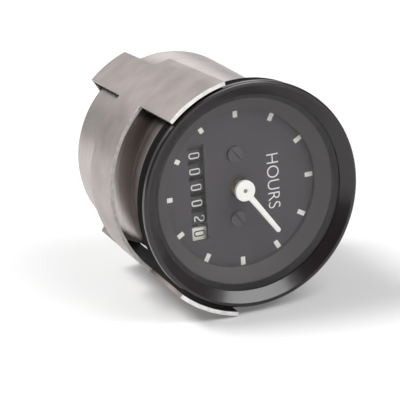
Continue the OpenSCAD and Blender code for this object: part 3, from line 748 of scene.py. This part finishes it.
@dataclass
class Clamp(Group):
    """The bracket with its studs, washers and nuts."""

    sheet_edge_mm: float = 0.16
    nut_edge_mm: float = 0.2
    washer_edge_mm: float = 0.12
    stud_edge_mm: float = 0.3
    front_edges_mm: float = 20.0
    front_facing: float = 0.8
    leg_from: float = 45.0
    inner_facing: float = 0.7
    stud_off: float = 17.0
    stud_angle: float = 120.85
    stud_r: float = 2.0
    root_r: float = 1.62
    pitch: float = 0.7
    crest: float = 0.09
    sunk: float = 0.05
    turn_gap: float = 0.04
    stud_z0: float = -66.5
    stud_z1: float = -48.5
    head_z: float = -47.0
    head_r: float = 4.0
    steps: int = 24
    round_steps: int = 32

    def build(self) -> None:
        """Eases the bracket and the nuts, and cuts the studs' threads."""
        # the eased edges get a painted highlight over their bright cut metal, and a third slot holds a painted shade
        # for the legs' inner sides
        sheet = eased_copy("bracket", "bracket", Finishes.SATIN_SHEET, self.sheet_edge_mm,
                           edge_finish=Finishes.SHEARED_EDGE_HIGHLIGHT)
        sheet.data.materials.append(Finishes.INSIDE_PAINTED_SHADE.material())
        not_leg = -math.cos(math.radians(self.leg_from))
        # the edges next to the panel get the painted highlight, and the legs' inner sides the painted shade
        for face in sheet.data.polygons:
            outward = Vector((face.center.x, 0.0, face.center.z)).normalized()
            if face.normal.y < -self.front_facing and face.center.y < self.front_edges_mm * MM:
                face.material_index = 1
            elif face.normal.dot(outward) < -self.inner_facing and outward.x > not_leg:
                face.material_index = 2
        eased_copy("nut_upper", "nut_upper", Finishes.ZINC, self.nut_edge_mm)
        eased_copy("nut_lower", "nut_lower", Finishes.ZINC, self.nut_edge_mm)
        eased_copy("washers", "bracket", Finishes.ZINC, self.washer_edge_mm)
        self.build_studs()

    def build_studs(self) -> None:
        """Builds both studs with a real thread."""
        mesh = bmesh.new()
        for side in (1, -1):
            a = math.radians(self.stud_angle) * side
            x, y = self.stud_off * math.cos(a), self.stud_off * math.sin(a)
            self.add_round(mesh, x, y, self.stud_z0, self.head_z, self.root_r)
            self.add_round(mesh, x, y, self.stud_z1, self.head_z, self.head_r)
            self.add_thread(mesh, x, y)
        bmesh.ops.recalc_face_normals(mesh, faces=mesh.faces)
        made = piece_from(mesh, "bracket_studs_threaded", "meter", Finishes.ZINC)
        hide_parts("bracket_studs")

    def add_round(self, mesh: bmesh.types.BMesh, x: float, y: float, z0: float, z1: float, r: float) -> None:
        """Adds a round bar with eased ends.

        Args:
            mesh: takes the bar.
            x: its place towards 12 o'clock.
            y: its place towards 9 o'clock.
            z0: its rear end.
            z1: its front end.
            r: its radius.
        """
        where = Matrix.Translation(place(x, y, (z0 + z1) / 2)) @ Matrix.Rotation(math.pi / 2, 4, "X")
        made = bmesh.ops.create_cone(mesh, cap_ends=True, segments=self.round_steps, radius1=r * MM, radius2=r * MM,
                                     depth=(z1 - z0) * MM, matrix=where)
        rims = [e for v in made["verts"] for e in v.link_edges if any(len(f.verts) > 4 for f in e.link_faces)]
        bmesh.ops.bevel(mesh, geom=list(dict.fromkeys(rims)), offset=self.stud_edge_mm * MM, offset_type="OFFSET",
                        segments=EDGE_STEPS, profile=0.5, affect="EDGES", material=-1)

    def add_thread(self, mesh: bmesh.types.BMesh, x: float, y: float) -> None:
        """Winds one thread ridge around a stud.

        Args:
            mesh: takes the ridge.
            x: the stud's place towards 12 o'clock.
            y: the stud's place towards 9 o'clock.
        """
        low = self.stud_z0 + self.stud_edge_mm
        turns = int((self.stud_z1 - low) / self.pitch) - 1
        foot_r = self.root_r - self.sunk
        section = [(foot_r, self.turn_gap), (self.stud_r, self.pitch / 2 - self.crest / 2),
                   (self.stud_r, self.pitch / 2 + self.crest / 2), (foot_r, self.pitch - self.turn_gap)]
        corners = [mesh.verts.new(place(x + r, y, low + z)) for r, z in section]
        edges = [mesh.edges.new(pair) for pair in zip(corners, corners[1:])]
        bmesh.ops.spin(mesh, geom=corners + edges, cent=place(x, y, 0.0), axis=Vector((0.0, -1.0, 0.0)),
                       dvec=place(0.0, 0.0, self.pitch / self.steps), angle=math.tau * turns,
                       space=Matrix.Identity(4), steps=self.steps * turns, use_merge=False, use_normal_flip=False,
                       use_duplicate=False)


@dataclass
class Terminals(Group):
    """The terminal block and its two blades."""

    block_edge_mm: float = 0.2
    blade_edge_mm: float = 0.15

    def build(self) -> None:
        """Eases the block's and the blades' edges."""
        eased_copy("terminal_block", "meter", Finishes.BLOCK, self.block_edge_mm)
        eased_copy("terminal_blades", "meter", Finishes.TINNED, self.blade_edge_mm)


@dataclass
class Lamp:
    """One soft box of the studio."""

    name: str
    where: tuple[float, float, float]
    size: tuple[float, float]
    watts: float

    def build(self, aim: Vector) -> None:
        """Hangs the lamp and turns it to the meter.

        Args:
            aim: the point that it faces.
        """
        data = bpy.data.lights.new(self.name, "AREA")
        data.shape = "RECTANGLE"
        data.size, data.size_y = self.size
        data.energy = self.watts
        lamp = bpy.data.objects.new(self.name, data)
        lamp.location = Vector(self.where)
        lamp.rotation_euler = (aim - lamp.location).to_track_quat("-Z", "Y").to_euler()
        bpy.context.scene.collection.objects.link(lamp)


@dataclass
class Studio:
    """Camera, lamps, world and floor."""

    eye_mm: tuple[float, float, float] = (-454.1, -1019.2, 347.6)
    right: tuple[float, float, float] = (0.9087, -0.4135, -0.0570)
    up: tuple[float, float, float] = (0.1737, 0.2502, 0.9525)
    forward: tuple[float, float, float] = (0.3796, 0.8754, -0.2992)
    lens_mm: float = 405.0
    aim: tuple[float, float, float] = (0.0, 0.02, 0.0)
    floor_side: float = 8.0
    floor_gap_mm: float = 0.2
    floor_tone: str = "#BEBEBE"
    floor_glow: float = 0.13
    lamps: list[Lamp] = field(default_factory=lambda: [
        Lamp("key_box", (-0.55, 0.35, 0.95), (0.5, 0.5), 19.0),
        Lamp("front_box", (0.36, -0.55, 0.72), (0.75, 0.75), 10.3),
        Lamp("back_box", (-0.15, 1.0, 0.55), (0.8, 0.5), 0.38),
        Lamp("rim_box", (0.42, 0.97, 0.36), (0.36, 0.34), 0.42),
    ])

    def build(self) -> None:
        """Sets up everything around the meter."""
        self.build_camera()
        for lamp in self.lamps:
            lamp.build(Vector(self.aim))
        self.build_world()
        self.build_floor()
        bpy.context.scene.view_settings.view_transform = "Standard"

    def build_camera(self) -> None:
        """Sets the camera at the photograph's place and angle."""
        data = bpy.data.cameras.new("camera")
        data.lens = self.lens_mm
        data.sensor_width = 36.0
        data.clip_start = 0.05
        data.clip_end = 50.0
        camera = bpy.data.objects.new("camera", data)
        turn = Matrix((self.right, self.up, -Vector(self.forward))).transposed()
        camera.matrix_world = Matrix.Translation(Vector(self.eye_mm) * MM) @ turn.to_4x4()
        bpy.context.scene.collection.objects.link(camera)
        bpy.context.scene.camera = camera

    def build_world(self) -> None:
        """Fills the room with soft light, paler towards the horizon and dimmer behind the camera."""
        world = bpy.data.worlds.new("studio")
        bpy.context.scene.world = world
        tree = empty_tree(world)
        where = add_node(tree, "ShaderNodeTexCoord")
        split = add_node(tree, "ShaderNodeSeparateXYZ", links={0: where.outputs["Generated"]})
        ramp = add_node(tree, "ShaderNodeMapRange", {"From Min": 0.0, "From Max": 0.7, "To Min": 0.6, "To Max": 0.32},
                        {"Value": split.outputs["Z"]})
        depth = add_node(tree, "ShaderNodeMapRange", {"From Min": -0.5, "From Max": 0.3, "To Min": 0.4, "To Max": 1.0},
                         {"Value": split.outputs["Y"]})
        level = add_node(tree, "ShaderNodeMath", {"operation": "MULTIPLY"},
                         {0: ramp.outputs["Result"], 1: depth.outputs["Result"]})
        tone = add_node(tree, "ShaderNodeBackground", {"Color": linear("#FFFFFF")},
                        {"Strength": level.outputs["Value"]})
        add_node(tree, "ShaderNodeOutputWorld", links={"Surface": tone.outputs["Background"]})

    def build_floor(self) -> None:
        """Lays a white floor under the meter."""
        low = Vector(CAD_BOX[0])
        mesh = bmesh.new()
        bmesh.ops.create_grid(mesh, x_segments=1, y_segments=1, size=self.floor_side / 2,
                              matrix=Matrix.Translation((0.0, 0.0, low.z - self.floor_gap_mm * MM)))
        data = bpy.data.meshes.new("floor")
        mesh.to_mesh(data)
        mesh.free()
        floor = bpy.data.objects.new("floor", data)
        bpy.context.scene.collection.objects.link(floor)
        paper = bpy.data.materials.new("white_paper")
        tree = empty_tree(paper)
        path = add_node(tree, "ShaderNodeLightPath")
        either = add_node(tree, "ShaderNodeMath", {"operation": "MAXIMUM"},
                          {0: path.outputs["Is Camera Ray"], 1: path.outputs["Is Glossy Ray"]})
        shown = add_node(tree, "ShaderNodeMath", {"operation": "MAXIMUM"},
                         {0: either.outputs["Value"], 1: path.outputs["Is Transmission Ray"]})
        matt = add_node(tree, "ShaderNodeBsdfDiffuse", {"Color": linear(self.floor_tone)})
        glow = add_node(tree, "ShaderNodeEmission", {"Color": linear("#FFFFFF"), "Strength": self.floor_glow})
        both = add_node(tree, "ShaderNodeAddShader", links={0: matt.outputs["BSDF"], 1: glow.outputs["Emission"]})
        seen = add_node(tree, "ShaderNodeMixShader", links={0: shown.outputs["Value"], 1: matt.outputs["BSDF"],
                                                           2: both.outputs["Shader"]})
        add_node(tree, "ShaderNodeOutputMaterial", links={"Surface": seen.outputs["Shader"]})
        data.materials.append(paper)


def main() -> None:
    """Builds the studio and dresses the meter, piece by piece."""
    logging.basicConfig(level=logging.INFO, format="%(message)s")
    Studio().build()
    groups: tuple[Group, ...] = (CaseShell(), DialFace(), Counter(), PointerSet(), Movement(), Clamp(), Terminals())
    for group in groups:
        group.build()
    for group in groups:
        group.dress()


if __name__ == "__main__":
    main()
